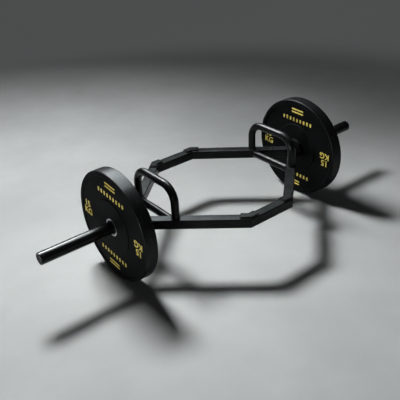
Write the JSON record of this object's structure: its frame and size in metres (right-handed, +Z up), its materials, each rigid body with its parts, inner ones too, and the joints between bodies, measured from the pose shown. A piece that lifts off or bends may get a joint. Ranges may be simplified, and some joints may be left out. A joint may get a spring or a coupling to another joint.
{
  "type": "hex trap bar",
  "caption": "Hexagonal deadlift bar of welded square tube with raised and low handles, a fixed sleeve at each end and a rubber bumper plate on each sleeve.",
  "frame": {"origin": "on the floor under the middle of the bar", "axes": "+X along the sleeves to the right end, +Y to the rear, +Z up"},
  "size_m": [1.656, 0.654, 0.45],
  "materials": {
    "frame_paint": "satin black paint",
    "sleeve_black": "semi-gloss black",
    "hub_steel": "turned steel",
    "plate_rubber": "matt moulded rubber"
  },
  "bodies": {
    "bar": {"front_side_tube": "frame_paint", "rear_side_tube": "frame_paint", "front_left_slanted_tube": "frame_paint", "front_right_slanted_tube": "frame_paint", "rear_left_slanted_tube": "frame_paint", "rear_right_slanted_tube": "frame_paint", "front_left_corner_plate": "frame_paint", "front_right_corner_plate": "frame_paint", "rear_left_corner_plate": "frame_paint", "rear_right_corner_plate": "frame_paint", "left_raised_handle": "frame_paint", "right_raised_handle": "frame_paint", "left_low_grip": "frame_paint", "right_low_grip": "frame_paint", "left_collar": "frame_paint", "right_collar": "frame_paint", "left_sleeve": "sleeve_black", "right_sleeve": "sleeve_black", "left_sleeve_plug": "sleeve_black", "right_sleeve_plug": "sleeve_black", "handle_welds": "frame_paint", "grip_welds": "frame_paint", "corner_plate_welds": "frame_paint", "apex_welds": "frame_paint"},
    "left_hub": {"left_plate_hub": "hub_steel"},
    "left_disc": {"left_plate_disc": "plate_rubber"},
    "right_hub": {"right_plate_hub": "hub_steel"},
    "right_disc": {"right_plate_disc": "plate_rubber"}
  },
  "joints": [
    {"name": "left_plate_slide", "type": "slide", "parent": "bar", "child": "left_hub", "axis": [-1, 0, 0], "range_m": [0, 0.301]},
    {"name": "left_plate_spin", "type": "hinge", "parent": "left_hub", "child": "left_disc", "pos_m": [-0.499, 0, 0.225], "axis": [1, 0, 0], "continuous": true},
    {"name": "right_plate_slide", "type": "slide", "parent": "bar", "child": "right_hub", "axis": [1, 0, 0], "range_m": [0, 0.301]},
    {"name": "right_plate_spin", "type": "hinge", "parent": "right_hub", "child": "right_disc", "pos_m": [0.499, 0, 0.225], "axis": [1, 0, 0], "continuous": true}
  ]
}
